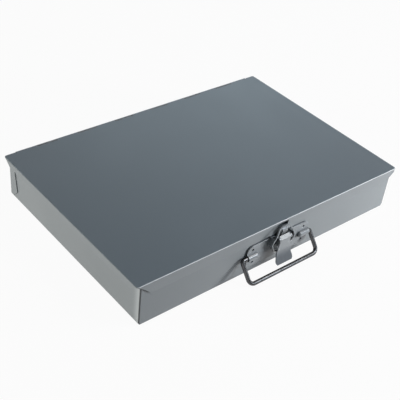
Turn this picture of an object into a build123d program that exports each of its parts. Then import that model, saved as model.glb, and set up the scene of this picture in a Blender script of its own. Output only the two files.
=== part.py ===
from build123d import *
import math
import os

os.makedirs("parts", exist_ok=True)

# Small steel storage box with a hinged lid, a catch and a bail on the front.
# Origin: on the table, under the middle of the tray. +X along the long front,
# the front faces -Y, the hinge is at +Y, +Z is up. Millimetres.

# Driving dimensions of the box
box_length = 339.7
box_depth = 235.0
box_height = 50.8
sheet = 0.9
wall_lean = 0.4
floor_bend = 1.2
corner_bend = 1.5
seat_gap = 0.05

# Lid
lid_over_end = 5.2
lid_over_front = 2.1
lid_over_back = 0.4
front_flange = 13.9
flange_gap = 0.2
flange_inset_left = 4.8
flange_inset_right = 0.5
flange_cut = 2.2
end_flange = 7.3
lid_bend = 1.1
lid_corner = 3.0
slot_width = 14.4
slot_tall = 5.2
slot_drop = 2.3
slot_shift = 2.5
slot_margin = 0.4
end_slant = 2.6

# Corner tabs and rim lips of the tray: how far a tab reaches at its top and above its cut
front_tab = (10.5, 10.5)
back_tab = (8.4, 14.6)
tab_foot = 2.6
tab_cut = 8.4
lip_reach = 3.4

# Hinge
hinge_margin = 8.85
hinge_stand = 0.5
knuckle_count = 13
knuckle_gap = 0.3
knuckle_radius = 2.0
hinge_pin_radius = 1.0
hinge_pin_head = 0.7
pin_relief = 1.1
running_fit = 0.06

# Catch plate on the front wall
plate_half = 42.2
plate_tall = 26.1
plate_gap = 2.2
plate_stand = 1.9
plate_sheet = 1.1
plate_rim = 1.3
plate_top_radius = 7.5
plate_low_radius = 4.0
weld_x = 33.7
hole_x = 34.8
hole_inset = 5.0
hole_radius = 1.3

# Raised egg-shaped collar of the catch plate, with heights from the lever's pin
collar_sheet = 1.2
collar_shift = 0.6
collar_top = 12.9
collar_waist = -4.2
collar_foot = -20.8
collar_half = 16.9
collar_shoulder = 6.8
arch_depth = 1.4
arch_rise = 1.3

# Bail and its two sockets
bail_wire = 2.2
socket_sheet = 1.2
socket_inner = 27.4
socket_outer = 41.7
socket_drop = 13.2
bail_half = 46.6
bail_end = 31.5
bail_reach = 24.9
bail_shift = -2.0
bail_bend = 6.0
bail_shoulder = 2.6
bail_rest = 2.3

# Catch lever, its pin, the hook and the bracket, with heights from the lever's pin
pin_stand = 7.0
pin_drop = 16.0
pin_radius = 1.25
pin_head = 0.5
lever_sheet = 1.1
lever_step = 0.5
flat_turn = math.radians(50)
thumb_half = 11.1
thumb_reach = 4.0
lever_straight = 13.0
thumb_drop = 14.8
foot_rise = 0.35
roll_radius = 2.4
roll_half = 6.8
hook_half = 3.5
hook_shift = 1.2
hook_sheet = 1.1
nose_clear = 0.5
ear_inner = 7.2
ear_sheet = 1.2
bracket_sheet = 1.2
bracket_low = -15.2
bracket_high = -1.0
rivet_low = -12.7
rivet_high = -4.8
rivet_radius = 1.4
rivet_head = 2.4
spring_wire = 0.3
spring_radius = 2.0
spring_pitch = 0.8
spring_turns = 3
wire_sides = 8

# Compartments
liner_sheet = 0.7
liner_gap = 1.6
liner_end_gap = 0.3
liner_drop = 2.35
scoop_radius = 24.0
row_count = 3
columns = 4
divider_flange = 8.0

# Sizes that follow from these
half_depth = box_depth / 2
rim_z = box_height - sheet - seat_gap
liner_top = rim_z - liner_drop
end_rim = box_length / 2 - sheet
end_foot = end_rim - wall_lean
lid_half = box_length / 2 + lid_over_end
lid_face = -(half_depth + lid_over_front)
lid_back = half_depth + lid_over_back
flange_low = box_height - front_flange
flange_lean = lid_over_front - sheet - flange_gap
slot_mid = box_height - slot_drop - slot_tall / 2
hinge_half = box_length / 2 - hinge_margin
hinge_y = half_depth + hinge_stand
hinge_z = box_height - knuckle_radius
knuckle_pitch = 2 * hinge_half / knuckle_count
hinge_bore = hinge_pin_radius + running_fit
plate_face = half_depth + plate_stand
plate_high = flange_low - plate_gap
plate_low = max(plate_high - plate_tall, floor_bend)
pin_y = -(plate_face + pin_stand)
pin_z = box_height - pin_drop
socket_y = -(half_depth + bail_wire + 0.2)
socket_z = pin_z - socket_drop

# Working planes of the catch: its side view and its front view, level with the pin
catch_side = Plane(origin=(0, -plate_face, pin_z), x_dir=(0, 1, 0), z_dir=(1, 0, 0))
catch_front = Plane(origin=(0, -half_depth, pin_z), x_dir=(1, 0, 0), z_dir=(0, -1, 0))


def end_x(z):
    """Outer face of the leaning end wall at a height."""
    return end_foot + wall_lean * z / rim_z


def flange_y(z):
    """Outer face of the lid's front flange, which leans in towards the wall."""
    return lid_face + flange_lean * (box_height - z) / front_flange


# Tray
# Hollow of the tray
with BuildPart() as hollow:
    with BuildSketch(Plane.XY.offset(sheet)):
        Rectangle(2 * (end_x(sheet) - sheet), box_depth - 2 * sheet)
    with BuildSketch(Plane.XY.offset(rim_z + 1)):
        Rectangle(2 * (end_x(rim_z + 1) - sheet), box_depth - 2 * sheet)
    loft()
    fillet(hollow.edges().group_by(Axis.Z)[0], radius=floor_bend - sheet)

# One corner tab: the front or back wall wraps round the corner and lies on the end wall.
tab_sizes = {"front": front_tab, "back": back_tab}
tab_solids = {}
for tab_name, (top_reach, low_reach) in tab_sizes.items():
    with BuildPart() as corner_tab:
        with BuildSketch(Plane.XZ.offset(half_depth)):
            with BuildLine():
                Polyline(
                    (end_x(tab_foot) - 3, tab_foot),
                    (end_x(tab_foot) + sheet, tab_foot),
                    (end_x(rim_z) + sheet, rim_z),
                    (end_x(rim_z) - 3, rim_z),
                    close=True,
                )
            make_face()
        extrude(amount=-low_reach)
        fillet(corner_tab.faces().sort_by(Axis.X)[-1].edges().sort_by(Axis.Y)[0], radius=corner_bend)
        # its free edge slants, and its foot is cut off
        with BuildSketch(Plane.YZ.offset(end_foot - 8)):
            with BuildLine():
                Polyline(
                    (-half_depth - 1, rim_z + 1),
                    (-half_depth + top_reach, rim_z + 1),
                    (-half_depth + low_reach, tab_foot + tab_cut),
                    (-half_depth + low_reach - tab_cut - 1, tab_foot - 1),
                    (-half_depth - 1, tab_foot - 1),
                    close=True,
                )
            make_face()
        extrude(amount=20, mode=Mode.INTERSECT)
    tab_solids[tab_name] = corner_tab.part

rear_tab = mirror(tab_solids["back"], about=Plane.XZ)

with BuildPart() as body_tray:
    # outer shape, wider at the rim than at the foot
    with BuildSketch(Plane.XY):
        Rectangle(2 * end_foot, box_depth)
    with BuildSketch(Plane.XY.offset(rim_z)):
        Rectangle(2 * end_rim, box_depth)
    loft()
    fillet(body_tray.edges().group_by(Axis.Z)[1], radius=corner_bend)
    fillet(body_tray.edges().group_by(Axis.Z)[0], radius=floor_bend)
    # corner tabs, welded to the end walls
    add(tab_solids["front"])
    add(rear_tab)
    add(mirror(tab_solids["front"], about=Plane.YZ))
    add(mirror(rear_tab, about=Plane.YZ))
    add(hollow.part, mode=Mode.SUBTRACT)
    # outward lips along the rims of the end walls, between the tabs
    with BuildSketch(Plane.XZ.offset(half_depth - front_tab[0] - 2)):
        with BuildLine():
            Polyline(
                (end_x(rim_z - sheet) - sheet / 2, rim_z - sheet),
                (end_rim + lip_reach, rim_z - sheet),
                (end_rim + lip_reach, rim_z),
                (end_rim - sheet / 2, rim_z),
                close=True,
            )
        make_face()
        mirror(about=Plane.YZ)
    extrude(amount=-(box_depth - front_tab[0] - back_tab[0] - 4))
    # the back wall is lower along the hinge
    with BuildSketch(Plane.XY.offset(hinge_z - knuckle_radius - 0.5)):
        with Locations((0, half_depth)):
            Rectangle(2 * hinge_half + 3.0, 4 * sheet)
    extrude(amount=10, mode=Mode.SUBTRACT)
    # every second knuckle belongs to the tray
    for k in range(1, knuckle_count, 2):
        knuckle_start = -hinge_half + k * knuckle_pitch + knuckle_gap / 2
        with BuildSketch(Plane.YZ.offset(knuckle_start)):
            with Locations((hinge_y, hinge_z)):
                Circle(knuckle_radius)
            with BuildLine():
                Polyline(
                    (half_depth - sheet, hinge_z - knuckle_radius - 1),
                    (half_depth, hinge_z - knuckle_radius - 1),
                    (half_depth, hinge_z),
                    (half_depth - sheet, hinge_z),
                    close=True,
                )
            make_face()
            with Locations((hinge_y, hinge_z)):
                Circle(hinge_bore, mode=Mode.SUBTRACT)
        extrude(amount=knuckle_pitch - knuckle_gap)
    # behind the lid's slot the front wall has a slot of its own, a little larger
    with BuildSketch(Plane.XZ.offset(half_depth)):
        with Locations((slot_shift, slot_mid)):
            RectangleRounded(slot_width + 2 * slot_margin, slot_tall + 2 * slot_margin, 0.8)
    extrude(amount=-2 * sheet, mode=Mode.SUBTRACT)
    # holes for the bracket's rivets in the front wall
    with BuildSketch(Plane.XZ.offset(half_depth)):
        with Locations((0, pin_z + rivet_low), (0, pin_z + rivet_high)):
            Circle(rivet_radius + 0.02)
    extrude(amount=-2 * sheet, mode=Mode.SUBTRACT)
body_tray.part.label = "body_tray"
export_step(body_tray.part, "parts/body_tray.step")

# Lid
# The outside and the inside of the lid are one form in two sizes.
lid_forms = {}
for form_name, inset in (("outside", 0.0), ("inside", sheet)):
    foot_z = flange_low - inset
    with BuildPart() as lid_form:
        with BuildSketch(Plane.YZ.offset(-lid_half + inset)):
            with BuildLine():
                Polyline(
                    (flange_y(foot_z) + inset, foot_z),
                    (lid_face + inset, box_height - inset),
                    (lid_back + 10 + inset, box_height - inset),
                    (lid_back + 10 + inset, foot_z),
                    close=True,
                )
            make_face()
        extrude(amount=2 * (lid_half - inset))
        front_face = lid_form.faces().sort_by(Axis.Y)[0]
        fillet(front_face.edges().sort_by(Axis.X)[0], radius=lid_corner - inset)
        front_face = lid_form.faces().filter_by(Axis.X, reverse=True).sort_by(Axis.Y)[0]
        fillet(front_face.edges().sort_by(Axis.X)[-1], radius=lid_corner - inset)
        bend_edges = lid_form.edges().group_by(Axis.Z)[-1].sort_by(Axis.Y)[:-1]
        fillet(bend_edges, radius=lid_bend - inset)
    lid_forms[form_name] = lid_form.part

with BuildPart() as lid:
    add(lid_forms["outside"])
    add(lid_forms["inside"], mode=Mode.SUBTRACT)
    # the back edge, with rounded corners
    with BuildSketch(Plane.XY.offset(flange_low - 1)) as lid_plan:
        with Locations((0, 0)):
            Rectangle(2 * lid_half + 2, 2 * lid_back)
        Rectangle(2 * lid_half, 2 * lid_back, mode=Mode.INTERSECT)
        fillet(lid_plan.vertices().group_by(Axis.Y)[-1], radius=lid_corner)
        with Locations((0, -half_depth)):
            Rectangle(2 * lid_half + 2, half_depth)
    extrude(amount=front_flange + 2, mode=Mode.INTERSECT)
    # end flanges: lower than the front one, with slanted ends, and none along the back
    for flange_plane in (Plane.YZ.offset(lid_half - 2.8), Plane.YZ.offset(-lid_half - 1.2)):
        with BuildSketch(flange_plane):
            with BuildLine():
                Polyline(
                    (-half_depth - 8, box_height - lid_bend),
                    (-half_depth + end_slant, box_height - lid_bend),
                    (-half_depth + end_slant + end_flange - lid_bend, box_height - end_flange),
                    (lid_back - 12.1, box_height - end_flange),
                    (lid_back - 3.6, box_height - sheet),
                    (lid_back + 2, box_height - sheet),
                    (lid_back + 2, flange_low - 2),
                    (-half_depth - 8, flange_low - 2),
                    close=True,
                )
            make_face()
        extrude(amount=4, mode=Mode.SUBTRACT)
    # slanted ends of the front flange
    with BuildSketch(Plane.XZ.offset(-lid_face + 1)):
        for side, inset in ((-1, flange_inset_left), (1, flange_inset_right)):
            with BuildLine():
                Polyline(
                    (side * (lid_half + 2), box_height - flange_cut),
                    (side * (lid_half - inset), box_height - flange_cut),
                    (side * (lid_half - inset - front_flange + flange_cut), flange_low),
                    (side * (lid_half - inset - front_flange + flange_cut), flange_low - 2),
                    (side * (lid_half + 2), flange_low - 2),
                    close=True,
                )
            make_face()
    extrude(amount=-4, mode=Mode.SUBTRACT)
    # slot for the hook
    with BuildSketch(Plane.XZ.offset(-lid_face + 1)):
        with Locations((slot_shift, slot_mid)):
            RectangleRounded(slot_width, slot_tall, 0.8)
    extrude(amount=-4, mode=Mode.SUBTRACT)
    # the sheet runs on into the hinge roll
    with BuildSketch(Plane.XY.offset(box_height - sheet)):
        with Locations((0, hinge_y - 4)):
            Rectangle(2 * hinge_half, 8)
    extrude(amount=sheet)
    for k in range(0, knuckle_count, 2):
        knuckle_start = -hinge_half + k * knuckle_pitch + knuckle_gap / 2
        with BuildSketch(Plane.YZ.offset(knuckle_start)):
            with Locations((hinge_y, hinge_z)):
                Circle(knuckle_radius)
        extrude(amount=knuckle_pitch - knuckle_gap)
    with BuildSketch(Plane.YZ.offset(-hinge_half - 1)):
        with Locations((hinge_y, hinge_z)):
            Circle(hinge_bore)
    extrude(amount=2 * hinge_half + 2, mode=Mode.SUBTRACT)
    # room for the tray's knuckles
    for k in range(1, knuckle_count, 2):
        notch_start = -hinge_half + k * knuckle_pitch - knuckle_gap / 2
        with BuildSketch(Plane.YZ.offset(notch_start)):
            with Locations((hinge_y, hinge_z)):
                Rectangle(2 * knuckle_radius + 0.7, 2 * knuckle_radius + 4)
        extrude(amount=knuckle_pitch + knuckle_gap, mode=Mode.SUBTRACT)
    # and for the heads of the hinge pin
    for relief_start in (hinge_half, -hinge_half - pin_relief):
        with BuildSketch(Plane.YZ.offset(relief_start)):
            with Locations((hinge_y, hinge_z)):
                Rectangle(2 * knuckle_radius, 2 * knuckle_radius + 4)
        extrude(amount=pin_relief, mode=Mode.SUBTRACT)
lid.part.label = "lid"
export_step(lid.part, "parts/lid.step")

# Hinge pin
with BuildPart() as hinge_pin:
    with BuildSketch(Plane.YZ.offset(-hinge_half)):
        with Locations((hinge_y, hinge_z)):
            Circle(hinge_pin_radius)
    extrude(amount=2 * hinge_half)
    for head_start in (-hinge_half - hinge_pin_head, hinge_half):
        with BuildSketch(Plane.YZ.offset(head_start)):
            with Locations((hinge_y, hinge_z)):
                Circle(hinge_pin_radius + 0.5)
        extrude(amount=hinge_pin_head)
hinge_pin.part.label = "hinge_pin"
export_step(hinge_pin.part, "parts/hinge_pin.step")

# Catch plate
# One bail socket: half a tube with a rounded inner end, open at its outer end.
with BuildPart() as bail_socket:
    with BuildSketch(Plane.YZ.offset(socket_inner)):
        with Locations((socket_y, socket_z)):
            Circle(bail_wire + running_fit + socket_sheet)
    extrude(amount=socket_outer - socket_inner)
    fillet(bail_socket.edges().group_by(Axis.X)[0], radius=2.6)
    with BuildSketch(Plane.XZ.offset(half_depth + plate_stand - plate_sheet)):
        with Locations((socket_outer, socket_z)):
            Rectangle(60, 20)
    extrude(amount=-20, mode=Mode.SUBTRACT)

# Collar: an egg-shaped ring that stands out from the plate round the catch. Seen from the
# side its rim is domed: farthest out beside the lever's pin, lower at the top and the foot.
rim_points = (
    (-1.5, -24.8),
    (-4.0, -16.3),
    (-5.8, -8.8),
    (-6.7, -0.8),
    (-6.9, 4.7),
    (-5.5, 9.6),
    (-3.2, 14.7),
)
collar_plane = Plane(
    origin=(collar_shift, -(plate_face - plate_sheet), pin_z),
    x_dir=(1, 0, 0),
    z_dir=(0, -1, 0),
)
with BuildPart() as collar:
    with BuildSketch(collar_plane):
        with BuildLine():
            FilletPolyline(
                (0, collar_top),
                (collar_shoulder, collar_top),
                (collar_half, collar_waist),
                (collar_shoulder, collar_foot),
                (0, collar_foot),
                radius=(9.0, 6.8, 9.0),
            )
            mirror(about=Plane.YZ)
        make_face()
        offset(amount=-collar_sheet, mode=Mode.SUBTRACT)
    extrude(amount=12)
    with BuildSketch(catch_side.offset(-20)):
        with BuildLine():
            rim_curve = Spline(*rim_points)
            Polyline(rim_curve @ 1, (-20, 14.7), (-20, -24.8), rim_curve @ 0)
        make_face()
    extrude(amount=40, mode=Mode.SUBTRACT)
    # above the plate only a thin arch is left, clear of the lid's front flange
    with BuildSketch(catch_side.offset(-20)):
        with BuildLine():
            arch_curve = Spline(*[(out + arch_depth, rise) for out, rise in rim_points])
            Polyline(arch_curve @ 1, (6, 14.7), (6, -24.8), arch_curve @ 0)
        make_face()
        with Locations((0, plate_high - pin_z + arch_rise + 20)):
            Rectangle(40, 40, mode=Mode.INTERSECT)
    extrude(amount=40, mode=Mode.SUBTRACT)

weld_places = [(side * weld_x, plate_low + hole_inset) for side in (-1, 1)]
hole_places = [(side * hole_x, plate_high - hole_inset) for side in (-1, 1)]
with BuildPart() as catch_plate:
    with BuildSketch(Plane.XZ.offset(half_depth)) as plate_outline:
        with Locations((0, (plate_low + plate_high) / 2)):
            Rectangle(2 * plate_half, plate_high - plate_low)
        fillet(plate_outline.vertices().group_by(Axis.Y)[-1], radius=plate_top_radius)
        fillet(plate_outline.vertices().group_by(Axis.Y)[0], radius=plate_low_radius)
    extrude(amount=plate_stand)
    fillet(catch_plate.edges().group_by(Axis.Y)[0], radius=0.5)
    # dished behind: the rim and four weld spots touch the wall
    with BuildSketch(Plane.XZ.offset(half_depth)) as plate_back:
        with Locations((0, (plate_low + plate_high) / 2)):
            Rectangle(2 * (plate_half - plate_rim), plate_high - plate_low - 2 * plate_rim)
        fillet(plate_back.vertices().group_by(Axis.Y)[-1], radius=plate_top_radius - plate_rim)
        fillet(plate_back.vertices().group_by(Axis.Y)[0], radius=plate_low_radius - plate_rim)
        with Locations(*weld_places, *hole_places):
            Circle(hole_radius + 1.2, mode=Mode.SUBTRACT)
        with Locations((0, pin_z + (rivet_low + rivet_high) / 2)):
            Rectangle(9, rivet_high - rivet_low + 2 * rivet_head + 2, mode=Mode.SUBTRACT)
    extrude(amount=plate_stand - plate_sheet, mode=Mode.SUBTRACT)
    add(bail_socket.part)
    add(mirror(bail_socket.part, about=Plane.YZ))
    add(collar.part)
    # bores of the sockets, open towards the ends of the plate
    for socket_plane in (Plane.YZ.offset(socket_inner + 1.4), Plane.YZ.offset(-socket_outer - 5)):
        with BuildSketch(socket_plane):
            with Locations((socket_y, socket_z)):
                Circle(bail_wire + running_fit)
        extrude(amount=socket_outer - socket_inner + 3.6, mode=Mode.SUBTRACT)
    # two pierced holes and two pressed weld dimples
    with BuildSketch(Plane.XZ.offset(plate_face)):
        with Locations(*hole_places):
            Circle(hole_radius)
    extrude(amount=-2 * plate_stand, mode=Mode.SUBTRACT)
    with BuildSketch(Plane.XZ.offset(plate_face)):
        with Locations(*weld_places):
            Circle(hole_radius + 0.2)
    extrude(amount=-0.8, mode=Mode.SUBTRACT)
    # rivet holes
    with BuildSketch(Plane.XZ.offset(plate_face)):
        with Locations((0, pin_z + rivet_low), (0, pin_z + rivet_high)):
            Circle(rivet_radius + 0.02)
    extrude(amount=-2 * plate_stand, mode=Mode.SUBTRACT)
catch_plate.part.label = "catch_plate"
export_step(catch_plate.part, "parts/catch_plate.step")

# Catch bracket
with BuildPart() as catch_bracket:
    with BuildSketch(catch_front.offset(plate_stand)):
        with Locations((0, (bracket_low + bracket_high) / 2)):
            Rectangle(2 * (ear_inner + ear_sheet), bracket_high - bracket_low)
    extrude(amount=bracket_sheet)
    for ear_start in (ear_inner, -ear_inner - ear_sheet):
        with BuildSketch(catch_side.offset(ear_start)):
            with BuildLine():
                Polyline(
                    (0, -10.8),
                    (0, bracket_high),
                    (-2.0, 1.8),
                    (-pin_stand, roll_radius + 0.2),
                    (-pin_stand - 1.5, -2.0),
                    (-3.0, -8.3),
                    close=True,
                )
            make_face()
            with Locations((-pin_stand, 0)):
                Circle(roll_radius + 0.2)
                Circle(pin_radius + 0.02, mode=Mode.SUBTRACT)
        extrude(amount=ear_sheet)
    with BuildSketch(catch_front.offset(plate_stand + bracket_sheet)):
        with Locations((0, rivet_low), (0, rivet_high)):
            Circle(rivet_radius + 0.02)
    extrude(amount=-2 * bracket_sheet, mode=Mode.SUBTRACT)
catch_bracket.part.label = "catch_bracket"
export_step(catch_bracket.part, "parts/catch_bracket.step")

# Bracket rivets
rivet_heights = {"rivet_lower": pin_z + rivet_low, "rivet_upper": pin_z + rivet_high}
for rivet_name, rivet_z in rivet_heights.items():
    with BuildPart() as rivet:
        with BuildSketch(Plane.XZ.offset(half_depth - sheet)):
            with Locations((0, rivet_z)):
                Circle(rivet_radius)
        extrude(amount=sheet + plate_stand + bracket_sheet)
        with BuildSketch(Plane.XZ.offset(plate_face + bracket_sheet)):
            with Locations((0, rivet_z)):
                Circle(rivet_head)
        extrude(amount=0.9)
        chamfer(rivet.edges().group_by(Axis.Y)[0], length=0.6)
        with BuildSketch(Plane.XZ.offset(half_depth - sheet)):
            with Locations((0, rivet_z)):
                Circle(rivet_head)
        extrude(amount=-0.8)
        chamfer(rivet.edges().group_by(Axis.Y)[-1], length=0.4)
    rivet.part.label = rivet_name
    export_step(rivet.part, "parts/" + rivet_name + ".step")

# Lever
# Its sheet stands a little behind the front of the roll, and its thumb end turns out.
flare = thumb_half - roll_half
flare_tall = 21.4
sheet_front = -(pin_stand + roll_radius - lever_step)
sheet_back = sheet_front + lever_sheet
thumb_out = thumb_reach + lever_step
bend_z = -lever_straight
foot_z = bend_z - thumb_drop
with BuildPart() as catch_lever:
    with BuildSketch(catch_side):
        with BuildLine():
            Line((sheet_front, 0), (sheet_front, bend_z))
            Spline(
                (sheet_front, bend_z),
                (sheet_front - 0.33 * thumb_out, bend_z - 0.51 * thumb_drop),
                (sheet_front - 0.64 * thumb_out, bend_z - 0.73 * thumb_drop),
                (sheet_front - thumb_out, foot_z),
                tangents=((0, -1), (-0.35, -1)),
            )
            Line(
                (sheet_front - thumb_out, foot_z),
                (sheet_back - thumb_out, foot_z - foot_rise),
            )
            Spline(
                (sheet_back - thumb_out, foot_z - foot_rise),
                (sheet_back - 0.67 * thumb_out, bend_z - 0.76 * thumb_drop),
                (sheet_back - 0.36 * thumb_out, bend_z - 0.53 * thumb_drop),
                (sheet_back, bend_z),
                tangents=((0.35, 1), (0, 1)),
            )
            Line((sheet_back, bend_z), (sheet_back, 0))
            Line((sheet_back, 0), (sheet_front, 0))
        make_face()
        # the roll is pressed flat on its upper front, where the thumb's sheet wraps over it
        with BuildLine():
            Polyline(
                (-pin_stand, 0),
                (-pin_stand + roll_radius * math.sin(flat_turn), roll_radius * math.cos(flat_turn)),
                (-pin_stand + 0.48 * roll_radius, 1.4 * roll_radius),
                (-pin_stand - 1.1 * roll_radius, 0.53 * roll_radius),
                (-pin_stand - roll_radius, -0.5 * roll_radius),
                close=True,
            )
        make_face()
        with Locations((-pin_stand, 0)):
            Circle(roll_radius)
            Circle(pin_radius + running_fit, mode=Mode.SUBTRACT)
    extrude(amount=13, both=True)
    # seen from the front: narrow at the roll, flared at the thumb end
    with BuildSketch(catch_front) as lever_outline:
        with BuildLine():
            Polyline((0, 2 * roll_radius), (roll_half, 2 * roll_radius), (roll_half, -roll_radius))
            Spline(
                (roll_half, -roll_radius),
                (roll_half + 0.11 * flare, -roll_radius - 0.07 * flare_tall),
                (roll_half + 0.35 * flare, -roll_radius - 0.31 * flare_tall),
                (roll_half + 0.67 * flare, -roll_radius - 0.69 * flare_tall),
                (thumb_half, -roll_radius - flare_tall),
            )
            Polyline((thumb_half, -roll_radius - flare_tall), (thumb_half, foot_z - 0.4))
            Polyline((thumb_half, foot_z - 0.4), (0, foot_z - 1.0))
            mirror(about=Plane.YZ)
        make_face()
        foot_corners = lever_outline.vertices().sort_by(SortBy.DISTANCE)[-2:]
        fillet(foot_corners, radius=3.4)
    extrude(amount=30, mode=Mode.INTERSECT)
catch_lever.part.label = "catch_lever"
export_step(catch_lever.part, "parts/catch_lever.step")

# Hook
# It is welded to the lever's back, passes behind the roll and points into the lid's slot.
hook_root = sheet_back + hook_sheet / 2
hook_pass = -pin_stand + roll_radius + hook_sheet / 2 + 0.4
nose_rise = 9.4
nose_end = flange_y(pin_z + nose_rise) - nose_clear + plate_face
with BuildPart() as catch_hook:
    with BuildSketch(catch_side.offset(hook_shift)):
        with BuildLine():
            FilletPolyline(
                (hook_root, -12.8),
                (hook_root, -6.4),
                (hook_pass, -2.4),
                (hook_pass, 3.2),
                (-4.9, 7.6),
                (-3.5, 10.0),
                (nose_end, nose_rise),
                radius=0.9,
            )
        trace(line_width=hook_sheet)
    extrude(amount=hook_half, both=True)
catch_hook.part.label = "catch_hook"
export_step(catch_hook.part, "parts/catch_hook.step")

# Lever pin
pin_left = -ear_inner - ear_sheet
coil_start = ear_inner + ear_sheet + spring_wire + 0.1
pin_right = coil_start + spring_pitch * spring_turns + spring_wire - 0.1
with BuildPart() as lever_pin:
    with BuildSketch(Plane.YZ.offset(pin_left)):
        with Locations((pin_y, pin_z)):
            Circle(pin_radius)
    extrude(amount=pin_right - pin_left)
    for head_plane in (Plane.YZ.offset(pin_left - pin_head), Plane.YZ.offset(pin_right)):
        with BuildSketch(head_plane):
            with Locations((pin_y, pin_z)):
                Circle(pin_radius + 0.35)
        extrude(amount=pin_head)
lever_pin.part.label = "lever_pin"
export_step(lever_pin.part, "parts/lever_pin.step")

# Catch spring
# Torsion spring on the pin: one leg lies on the lever's back, the other on the plate.
lever_back = sheet_back - plate_face
with BuildPart() as catch_spring:
    coil_plane = Plane(origin=(coil_start, pin_y, pin_z), x_dir=(0, 1, 0), z_dir=(1, 0, 0))
    coil_height = spring_pitch * (spring_turns - 0.25)
    coil = coil_plane * Helix(spring_pitch, coil_height, spring_radius, mode=Mode.PRIVATE)
    with BuildSketch(Plane(origin=coil @ 0, z_dir=coil % 0)):
        RegularPolygon(spring_wire, wire_sides)
    sweep(path=coil, is_frenet=True)
    leg_points = (
        (coil @ 0, Vector(coil_start - 0.15, lever_back + spring_wire + 0.05, pin_z - 12.6)),
        (coil @ 1, Vector((coil @ 1).X, -plate_face - 0.5, (coil @ 1).Z)),
    )
    for leg_from, leg_to in leg_points:
        leg_vector = leg_to - leg_from
        leg_start = leg_from - leg_vector.normalized() * 0.2
        with BuildSketch(Plane(origin=leg_start, z_dir=leg_vector)):
            RegularPolygon(spring_wire, wire_sides)
        extrude(amount=leg_vector.length + 0.2)
catch_spring.part.label = "catch_spring"
export_step(catch_spring.part, "parts/catch_spring.step")

# Bail
# Its bar rests on the table, or hangs just short of upright where it can't reach so far.
swing = math.acos(min((socket_z - bail_rest) / bail_reach, 0.95))
bail_plane = Plane(
    origin=(bail_shift, socket_y, socket_z),
    x_dir=(1, 0, 0),
    z_dir=(0, math.cos(swing), -math.sin(swing)),
)
with BuildPart() as bail:
    with BuildLine(bail_plane) as bail_line:
        FilletPolyline(
            (-bail_end, 0),
            (-bail_half, 0),
            (-bail_half, bail_reach),
            (bail_half, bail_reach),
            (bail_half, 0),
            (bail_end, 0),
            radius=(bail_shoulder, bail_bend, bail_bend, bail_shoulder),
        )
    bail_path = bail_line.line
    with BuildSketch(Plane(origin=bail_path @ 0, z_dir=bail_path % 0)):
        Circle(bail_wire)
    sweep(path=bail_path)
bail.part.label = "bail"
export_step(bail.part, "parts/bail.step")

# Compartments
liner_half = end_x(sheet) - sheet - liner_end_gap
rows_depth = box_depth - 2 * sheet - 2 * liner_gap
row_pitch = rows_depth / row_count
row_names = ("front", "middle", "back")

# The troughs end just short of the leaning end walls.
with BuildPart() as liner_room:
    with BuildSketch(Plane.XY.offset(sheet)):
        Rectangle(2 * liner_half, box_depth - 2 * sheet)
    with BuildSketch(Plane.XY.offset(rim_z)):
        Rectangle(2 * (end_rim - sheet - liner_end_gap), box_depth - 2 * sheet)
    loft()
    fillet(
        liner_room.edges().group_by(Axis.Z)[0].filter_by(Axis.Y),
        radius=floor_bend - sheet,
    )

for row, row_name in enumerate(row_names):
    row_low = -rows_depth / 2 + row * row_pitch + 0.05
    row_high = row_low + row_pitch - 0.1
    # a long trough with a scooped bottom
    with BuildPart() as trough:
        with BuildSketch(Plane.YZ.offset(-end_rim)):
            with BuildLine():
                FilletPolyline(
                    (row_low + liner_sheet / 2, liner_top),
                    (row_low + liner_sheet / 2, sheet + liner_sheet / 2),
                    (row_high - liner_sheet / 2, sheet + liner_sheet / 2),
                    (row_high - liner_sheet / 2, liner_top),
                    radius=scoop_radius,
                )
            trace(line_width=liner_sheet)
        extrude(amount=2 * end_rim)
        add(liner_room.part, mode=Mode.INTERSECT)
    trough.part.label = "trough_" + row_name
    export_step(trough.part, "parts/trough_" + row_name + ".step")
    # cross dividers with folded weld flanges
    inner_low = row_low + liner_sheet
    inner_high = row_high - liner_sheet
    for column in range(1, columns):
        divider_x = -liner_half + column * 2 * liner_half / columns
        with BuildPart() as divider:
            with BuildSketch(Plane.YZ.offset(divider_x)) as divider_outline:
                with Locations(((inner_low + inner_high) / 2, (liner_top + sheet + liner_sheet) / 2)):
                    Rectangle(inner_high - inner_low, liner_top - sheet - liner_sheet)
                fillet(divider_outline.vertices().group_by(Axis.Y)[0], radius=scoop_radius + 0.5)
            extrude(amount=liner_sheet)
            flange_top = liner_top - 2
            flange_foot = scoop_radius + 4
            with BuildSketch(Plane.XY.offset(flange_foot)):
                with Locations(
                    (divider_x + divider_flange / 2, inner_low + liner_sheet / 2),
                    (divider_x + divider_flange / 2, inner_high - liner_sheet / 2),
                ):
                    Rectangle(divider_flange, liner_sheet)
            extrude(amount=flange_top - flange_foot)
        divider_name = "divider_" + row_name + "_" + str(column)
        divider.part.label = divider_name
        export_step(divider.part, "parts/" + divider_name + ".step")
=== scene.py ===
import math

import bpy
from mathutils import Matrix, Vector


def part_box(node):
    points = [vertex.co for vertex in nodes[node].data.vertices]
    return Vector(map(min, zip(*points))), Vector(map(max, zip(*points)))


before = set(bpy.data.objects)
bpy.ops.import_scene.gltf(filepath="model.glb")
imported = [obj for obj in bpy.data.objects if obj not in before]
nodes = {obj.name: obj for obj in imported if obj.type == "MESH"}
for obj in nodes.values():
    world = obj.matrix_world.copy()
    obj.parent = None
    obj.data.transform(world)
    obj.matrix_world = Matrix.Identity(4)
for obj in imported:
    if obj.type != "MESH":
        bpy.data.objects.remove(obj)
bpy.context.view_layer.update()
scene = bpy.context.scene

# The mix node's sockets for colours, by number
MIX_SHARE = 0
MIX_FIRST = 6
MIX_SECOND = 7
MIX_RESULT = 2

# Sharp edges are found by the cosine between the true normal and a rounded one
EDGE_SAMPLES = 6
EDGE_FLAT = 0.995
EDGE_SHARP = 0.86

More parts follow.
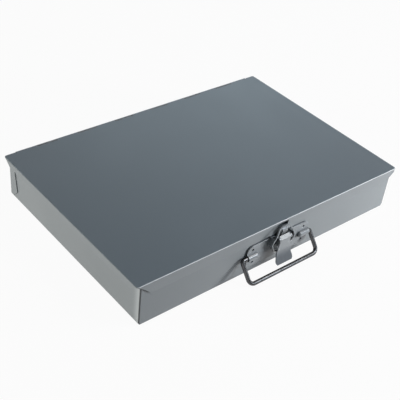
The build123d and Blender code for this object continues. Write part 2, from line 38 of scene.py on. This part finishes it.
# Share of a band's width that each of its soft ends takes
BAND_SOFTNESS = 0.1


# Shader helpers
class Tree:
    """Adds nodes to the shader tree of a material or the world, and wires them."""

    def __init__(self, owner, output_kind):
        owner.use_nodes = True
        self.tree = owner.node_tree
        self.tree.nodes.clear()
        self.output = self.add(output_kind)

    def add(self, kind, inputs=None, **settings):
        """Add a node. Each input is a value to set, or the output of another node to wire in."""
        node = self.tree.nodes.new(kind)
        for key, value in settings.items():
            setattr(node, key, value)
        for key, value in (inputs or {}).items():
            if isinstance(value, bpy.types.NodeSocket):
                self.tree.links.new(value, node.inputs[key])
            else:
                node.inputs[key].default_value = value
        return node

    def noise(self, scale, detail, rough=0.5, stretch=None):
        """Noise in the object's own space, stretched along its axes if asked."""
        place = self.add("ShaderNodeTexCoord").outputs["Object"]
        if stretch:
            mapping = self.add("ShaderNodeMapping", {"Vector": place, "Scale": stretch})
            place = mapping.outputs["Vector"]
        inputs = {"Vector": place, "Scale": scale, "Detail": detail, "Roughness": rough}
        return self.add("ShaderNodeTexNoise", inputs).outputs["Fac"]

    def ramp(self, source, low, high, to_low=0.0, to_high=1.0):
        """A soft step from to_low, where the source is low, to to_high, where it is high."""
        inputs = {
            "Value": source,
            "From Min": low,
            "From Max": high,
            "To Min": to_low,
            "To Max": to_high,
        }
        node = self.add("ShaderNodeMapRange", inputs, interpolation_type="SMOOTHSTEP")
        return node.outputs["Result"]

    def between(self, value, low, high):
        """1 where the value lies between low and high, with soft ends."""
        soft = BAND_SOFTNESS * (high - low)
        rise = self.ramp(value, low, low + soft)
        fall = self.ramp(value, high, high - soft)
        return self.times(rise, fall)

    def math(self, operation, *values):
        """The result of one math operation on one or two values."""
        node = self.add("ShaderNodeMath", dict(enumerate(values)), operation=operation)
        return node.outputs["Value"]

    def times(self, product, *factors):
        """The product of all values."""
        for factor in factors:
            product = self.math("MULTIPLY", product, factor)
        return product

    def dot(self, first, second):
        """The dot product of two vectors."""
        inputs = {0: first, 1: second}
        node = self.add("ShaderNodeVectorMath", inputs, operation="DOT_PRODUCT")
        return node.outputs["Value"]

    def axes(self, output):
        """The X, Y and Z parts of one output of the texture coordinates."""
        place = self.add("ShaderNodeTexCoord").outputs[output]
        split = self.add("ShaderNodeSeparateXYZ", {"Vector": place})
        return split.outputs["X"], split.outputs["Y"], split.outputs["Z"]

    def mix(self, share, first, second):
        """The first colour, with this share of the second in it."""
        inputs = {MIX_SHARE: share, MIX_FIRST: first, MIX_SECOND: second}
        return self.add("ShaderNodeMix", inputs, data_type="RGBA").outputs[MIX_RESULT]

    def bump(self, height, distance, strength):
        """A normal bent by the height, whose full range stands for this distance."""
        inputs = {"Height": height, "Distance": distance, "Strength": strength}
        return self.add("ShaderNodeBump", inputs).outputs["Normal"]

    def edges(self, radius):
        """1 along sharp edges, 0 on flat places."""
        rounded = self.add("ShaderNodeBevel", {"Radius": radius}, samples=EDGE_SAMPLES)
        geometry = self.add("ShaderNodeNewGeometry")
        cosine = self.dot(rounded.outputs["Normal"], geometry.outputs["Normal"])
        return self.ramp(cosine, EDGE_FLAT, EDGE_SHARP)

    def blend(self, share, first, second):
        """The first shader, with this share of the second in it."""
        inputs = {"Fac": share, 1: first, 2: second}
        return self.add("ShaderNodeMixShader", inputs).outputs["Shader"]

    def show(self, shader):
        """Make this shader the one that the tree gives."""
        self.tree.links.new(shader, self.output.inputs["Surface"])


def srgb(red, green, blue):
    """A colour written in 0 to 255, as a linear colour by the sRGB formula."""
    linear = []
    for value in (red / 255, green / 255, blue / 255):
        linear.append(value / 12.92 if value <= 0.04045 else ((value + 0.055) / 1.055) ** 2.4)
    return tuple(linear) + (1.0,)


# Patterns of the finishes, with scales in repeats per metre
CLOUDS = {"scale": 9.0, "detail": 1.0}
SMEARS = {"scale": 12.0, "detail": 1.0}
SPECKS = {"scale": 1500.0, "detail": 1.0}
RUBBING = {"scale": 160.0, "detail": 4.0, "rough": 0.7}
PEEL = {"scale": 420.0, "detail": 2.0}
SPOTS = {"scale": 260.0, "detail": 3.0}
DULLING = {"scale": 500.0, "detail": 3.0}
GRAIN = {"scale": 900.0, "detail": 2.0, "stretch": (0.06, 1.0, 1.0)}

# Noise values between which each pattern comes in
EVEN_SPREAD = (0.3, 0.7)
SPECK_SPREAD = (0.66, 0.8)
RUBBING_SPREAD = (0.42, 0.62)
SPOT_SPREAD = (0.42, 0.66)

# How strongly the patterns show, with widths and depths in metres
SPECK_SHARE = 0.10
RUBBED_SHARE = 0.55
RUBBED_ROUGHER = 0.05
RUBBED_WIDTH = 0.0005
RELIEF_DEPTH = 0.00002
PEEL_STRENGTH = 0.4
GRAIN_STRENGTH = 0.6


# Finishes
def new_material(name):
    """A new material and its tree."""
    material = bpy.data.materials.new(name)
    return material, Tree(material, "ShaderNodeOutputMaterial")


def enamel(name, tone, dark, light, rough, sheen, metal=0.0, peel=1.0, painted_shading=None):
    """Baked enamel on steel: slight clouding, fine orange peel, thin paint along the edges."""
    material, t = new_material(name)
    colour = t.mix(t.ramp(t.noise(**CLOUDS), *EVEN_SPREAD), dark, tone)
    # Painted light and shade, where given, goes onto the base colour here
    if painted_shading:
        colour = painted_shading(t, colour)
    specks = t.ramp(t.noise(**SPECKS), *SPECK_SPREAD, 0.0, SPECK_SHARE)
    colour = t.mix(specks, colour, light)
    rubbed = t.times(t.edges(RUBBED_WIDTH), t.ramp(t.noise(**RUBBING), *RUBBING_SPREAD))
    colour = t.mix(t.times(rubbed, RUBBED_SHARE), colour, light)
    smears = t.ramp(t.noise(**SMEARS), *EVEN_SPREAD, *rough)
    inputs = {
        "Base Color": colour,
        "Roughness": t.math("ADD", smears, t.times(rubbed, RUBBED_ROUGHER)),
        "Normal": t.bump(t.noise(**PEEL), RELIEF_DEPTH * peel, PEEL_STRENGTH),
        "Specular IOR Level": sheen,
        "Metallic": metal,
    }
    t.show(t.add("ShaderNodeBsdfPrincipled", inputs).outputs["BSDF"])
    return material


def plated(name, tone, dark, rough):
    """Plated steel with a faint drawn grain and duller spots."""
    material, t = new_material(name)
    inputs = {
        "Base Color": t.mix(t.ramp(t.noise(**SPOTS), *SPOT_SPREAD), tone, dark),
        "Roughness": t.ramp(t.noise(**DULLING), *EVEN_SPREAD, *rough),
        "Normal": t.bump(t.noise(**GRAIN), RELIEF_DEPTH, GRAIN_STRENGTH),
        "Metallic": 1.0,
    }
    t.show(t.add("ShaderNodeBsdfPrincipled", inputs).outputs["BSDF"])
    return material


# Painted shade on the thumb tab, with heights above its foot in metres
THUMB_SHADE_WHOLLY = 0.00735
THUMB_SHADE_UP_TO = 0.01835
THUMB_SHADE_GREY = srgb(88, 94, 100)

# Painted shade and highlight on the lid, with bands in the X, Y and Z parts of its normal
TOP_FACING = (0.5, 0.9)
BEND_FACING_FRONT = (-0.92, -0.40)
BEND_FACING_UP = (0.40, 0.92)
FLANGE_GREY = srgb(105, 111, 115)
BEND_HIGHLIGHT = srgb(200, 205, 210)
BEND_SHARE = 0.7

# Painted light and shade at the tray's front corners, with distances behind its front in metres
LEFT_FACING = (-0.9, -0.98)
PALE_UP_TO = 0.011
PALE_WHOLLY = 0.001
PALE_GREY = srgb(172, 178, 182)
PALE_SHARE = 0.35
CORNER_FACING_FRONT = (-0.97, -0.3)
CORNER_FACING_END = (0.2, 0.4)
CORNER_DARK = srgb(40, 42, 44)
CORNER_SHARE = 0.8


def thumb_painted_shade(t, colour):
    """The lower end of the thumb tab carries painted shade, darker towards its foot."""
    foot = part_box("catch_lever")[0].z
    height = t.axes("Object")[2]
    unshaded = t.ramp(height, foot + THUMB_SHADE_WHOLLY, foot + THUMB_SHADE_UP_TO)
    return t.mix(unshaded, THUMB_SHADE_GREY, colour)


def lid_painted_shading(t, colour):
    """The lid's top is painted darker and bluer than its flanges by which way it faces, as painted
    shade, and its front bend carries a painted highlight.
    """
    _, normal_y, normal_z = t.axes("Normal")
    colour = t.mix(t.ramp(normal_z, *TOP_FACING), FLANGE_GREY, colour)
    bend = t.times(
        t.between(normal_y, *BEND_FACING_FRONT),
        t.between(normal_z, *BEND_FACING_UP),
        BEND_SHARE,
    )
    return t.mix(bend, colour, BEND_HIGHLIGHT)


def corner_painted_shading(t, colour):
    """The left end carries a painted highlight next to its front corner, and both front corners a
    dark line of painted shade.
    """
    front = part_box("body_tray")[0].y
    place_y = t.axes("Object")[1]
    normal_x, normal_y, _ = t.axes("Normal")
    pale = t.times(
        t.ramp(normal_x, *LEFT_FACING),
        t.ramp(place_y, front + PALE_UP_TO, front + PALE_WHOLLY),
        PALE_SHARE,
    )
    colour = t.mix(pale, colour, PALE_GREY)
    corner = t.times(
        t.between(normal_y, *CORNER_FACING_FRONT),
        t.ramp(t.math("ABSOLUTE", normal_x), *CORNER_FACING_END),
        CORNER_SHARE,
    )
    return t.mix(corner, colour, CORNER_DARK)


# Materials of the pieces, with colours from 0 to 255
GREY_LIGHT = srgb(158, 164, 168)
CATCH_METAL = {
    "tone": srgb(136, 141, 145),
    "dark": srgb(124, 129, 134),
    "light": srgb(180, 184, 188),
    "rough": (0.30, 0.36),
    "sheen": 0.5,
    "metal": 0.5,
    "peel": 0.6,
}
# The lid's top is painted darker than its flanges, and its front bend carries a painted highlight
lid_enamel = enamel(
    "lid_enamel",
    tone=srgb(98, 108, 116),
    dark=srgb(95, 105, 113),
    light=GREY_LIGHT,
    rough=(0.38, 0.43),
    sheen=0.35,
    painted_shading=lid_painted_shading,
)
# The tray's left end carries a painted highlight by its front corner, and its front corners painted
# shade
tray_enamel = enamel(
    "tray_enamel",
    tone=srgb(106, 112, 116),
    dark=srgb(102, 108, 112),
    light=GREY_LIGHT,
    rough=(0.32, 0.40),
    sheen=0.35,
    painted_shading=corner_painted_shading,
)
plate_enamel = enamel(
    "plate_enamel",
    tone=srgb(104, 110, 115),
    dark=srgb(99, 105, 110),
    light=GREY_LIGHT,
    rough=(0.20, 0.25),
    sheen=0.8,
    peel=0.6,
)
catch_metal = enamel("catch_metal", **CATCH_METAL)
# The thumb tab carries painted shade towards its foot
thumb_metal = enamel("thumb_metal", **CATCH_METAL, painted_shading=thumb_painted_shade)
liner_enamel = enamel(
    "liner_enamel",
    tone=srgb(104, 112, 118),
    dark=srgb(100, 108, 114),
    light=GREY_LIGHT,
    rough=(0.36, 0.46),
    sheen=0.4,
)
wire_steel = plated("wire_steel", srgb(86, 86, 87), srgb(74, 75, 77), rough=(0.20, 0.26))
spring_steel = plated("spring_steel", srgb(120, 120, 122), srgb(70, 70, 74), rough=(0.29, 0.4))
pin_steel = plated("pin_steel", srgb(140, 140, 142), srgb(90, 90, 94), rough=(0.29, 0.4))

# The troughs and dividers, which aren't named here, are enamelled liners
looks = {
    "lid": lid_enamel,
    "body_tray": tray_enamel,
    "catch_plate": plate_enamel,
    "catch_bracket": catch_metal,
    "catch_lever": thumb_metal,
    "catch_hook": catch_metal,
    "rivet_lower": catch_metal,
    "rivet_upper": catch_metal,
    "bail": wire_steel,
    "catch_spring": spring_steel,
    "lever_pin": pin_steel,
    "hinge_pin": pin_steel,
}
for name, obj in nodes.items():
    material = looks.get(name, liner_enamel)
    if obj.material_slots:
        for slot in obj.material_slots:
            slot.material = material
    else:
        obj.data.materials.append(material)

# Floor, in metres
FLOOR_REACH = 6.0
FLOOR_DROP = 0.0003
FLOOR_GREY = (0.50, 0.50, 0.50, 1.0)
FLOOR_GLOW = 1.0
FLOOR_GLOW_SHARE = 0.95


def floor_material(name):
    """Nearly white to the camera and in reflections, with a faint shadow, and grey to the light."""
    material, t = new_material(name)
    ray = t.add("ShaderNodeLightPath").outputs
    seen = t.math("MAXIMUM", ray["Is Camera Ray"], ray["Is Glossy Ray"])
    seen = t.math("MAXIMUM", seen, ray["Is Transmission Ray"])
    diffuse = t.add("ShaderNodeBsdfDiffuse", {"Color": FLOOR_GREY}).outputs["BSDF"]
    glow = t.add("ShaderNodeEmission", {"Strength": FLOOR_GLOW}).outputs["Emission"]
    t.show(t.blend(t.times(seen, FLOOR_GLOW_SHARE), diffuse, glow))
    return material


floor_mesh = bpy.data.meshes.new("floor")
floor_corners = [
    (-FLOOR_REACH, -FLOOR_REACH, 0),
    (FLOOR_REACH, -FLOOR_REACH, 0),
    (FLOOR_REACH, FLOOR_REACH, 0),
    (-FLOOR_REACH, FLOOR_REACH, 0),
]
floor_mesh.from_pydata(floor_corners, [], [(0, 1, 2, 3)])
floor = bpy.data.objects.new("floor", floor_mesh)
floor.location.z = -FLOOR_DROP
scene.collection.objects.link(floor)
floor_mesh.materials.append(floor_material("floor_white"))

# World, with heights and nearness measured on a unit vector that points away from the box
WHITE = (1.0, 1.0, 1.0, 1.0)
CEILING_HEIGHTS = (0.42, 0.72)
CEILING_LEVEL = 0.12
STRETCH_TOWARD = (0.55, -0.83, 0.10)
STRETCH_NEARNESS = (0.55, 0.88)
STRETCH_LEVEL = 0.15
AMBIENT_COLOUR = (0.90, 0.95, 1.0, 1.0)
AMBIENT_LEVEL = 0.02

scene.world = bpy.data.worlds.new("studio")
sky = Tree(scene.world, "ShaderNodeOutputWorld")


def background(colour, strength):
    """A plain glow of the world."""
    inputs = {"Color": colour, "Strength": strength}
    return sky.add("ShaderNodeBackground", inputs).outputs["Background"]


# The camera sees white all round, metal sees the mirrored levels, and other light the ambient one
ray = sky.add("ShaderNodeLightPath").outputs
around = sky.add("ShaderNodeTexCoord").outputs["Generated"]
height = sky.axes("Generated")[2]
# The mirrored level is lower overhead and in a stretch in front of the box
ceiling = sky.ramp(height, *CEILING_HEIGHTS, 1.0, CEILING_LEVEL)
nearness = sky.dot(around, STRETCH_TOWARD)
stretch = sky.ramp(nearness, *STRETCH_NEARNESS, 1.0, STRETCH_LEVEL)
mirrored = sky.math("MAXIMUM", ray["Is Glossy Ray"], ray["Is Transmission Ray"])
ambient = background(AMBIENT_COLOUR, AMBIENT_LEVEL)
mirror = background(WHITE, sky.times(ceiling, stretch))
lit = sky.blend(mirrored, ambient, mirror)
sky.show(sky.blend(ray["Is Camera Ray"], lit, background(WHITE, 1.0)))


# Lamps, in metres
def softbox(name, toward, away, size, radiance, colour, mirrored):
    """A soft lamp that faces the box from this direction. Only a mirrored one shows in gloss."""
    lamp = bpy.data.lights.new(name, "AREA")
    lamp.shape = "RECTANGLE"
    lamp.size, lamp.size_y = size
    lamp.energy = radiance * math.pi * size[0] * size[1]
    lamp.color = colour
    obj = bpy.data.objects.new(name, lamp)
    direction = Vector(toward).normalized()
    obj.location = direction * away
    obj.rotation_euler = (-direction).to_track_quat("-Z", "Y").to_euler()
    obj.visible_glossy = mirrored
    scene.collection.objects.link(obj)


softbox(
    "key_right",
    toward=(1.0, -0.85, 0.14),
    away=0.95,
    size=(0.24, 0.24),
    radiance=93.0,
    colour=(1.0, 0.955, 0.92),
    mirrored=False,
)
softbox(
    "strip_front",
    toward=(0.46, -0.62, 0.56),
    away=1.6,
    size=(0.30, 1.1),
    radiance=11.0,
    colour=(0.85, 0.92, 1.0),
    mirrored=True,
)
softbox(
    "strip_top",
    toward=(0.45, -0.30, 0.79),
    away=1.6,
    size=(0.35, 0.6),
    radiance=7.5,
    colour=(1.0, 0.95, 0.90),
    mirrored=True,
)
softbox(
    "fill_left",
    toward=(-1.0, 0.30, 0.14),
    away=1.9,
    size=(1.3, 0.6),
    radiance=22.0,
    colour=(1.0, 0.96, 0.885),
    mirrored=False,
)
softbox(
    "glow_back",
    toward=(0.76, 0.90, 0.42),
    away=1.3,
    size=(0.80, 0.60),
    radiance=1.9,
    colour=(0.68, 0.88, 1.0),
    mirrored=True,
)

# Camera, fitted to the corners of the box in the photo, in metres and degrees
PHOTO_WIDTH = 400
FOCAL_PIXELS = 820.2
SENSOR_WIDTH = 36.0
AZIMUTH = -43.124
ELEVATION = 36.885
ROLL = 6.821
DISTANCE = 0.9063
TARGET = (-0.00152, 0.00014, 0.0)
NEAREST_SEEN = 0.05
FARTHEST_SEEN = 50

azimuth = math.radians(AZIMUTH)
elevation = math.radians(ELEVATION)
roll = math.radians(ROLL)
back = Vector(
    (
        math.sin(azimuth) * math.cos(elevation),
        -math.cos(azimuth) * math.cos(elevation),
        math.sin(elevation),
    )
)
side = Vector((math.cos(azimuth), math.sin(azimuth), 0))
upward = back.cross(side)
camera_x = math.cos(roll) * side + math.sin(roll) * upward
camera_y = -math.sin(roll) * side + math.cos(roll) * upward
camera_data = bpy.data.cameras.new("camera")
camera_data.sensor_width = SENSOR_WIDTH
camera_data.lens = FOCAL_PIXELS / PHOTO_WIDTH * SENSOR_WIDTH
camera_data.clip_start = NEAREST_SEEN
camera_data.clip_end = FARTHEST_SEEN
camera = bpy.data.objects.new("camera", camera_data)
turn = Matrix((camera_x, camera_y, back)).transposed().to_4x4()
camera.matrix_world = Matrix.Translation(Vector(TARGET) + DISTANCE * back) @ turn
scene.collection.objects.link(camera)
scene.camera = camera
scene.view_settings.view_transform = "Standard"
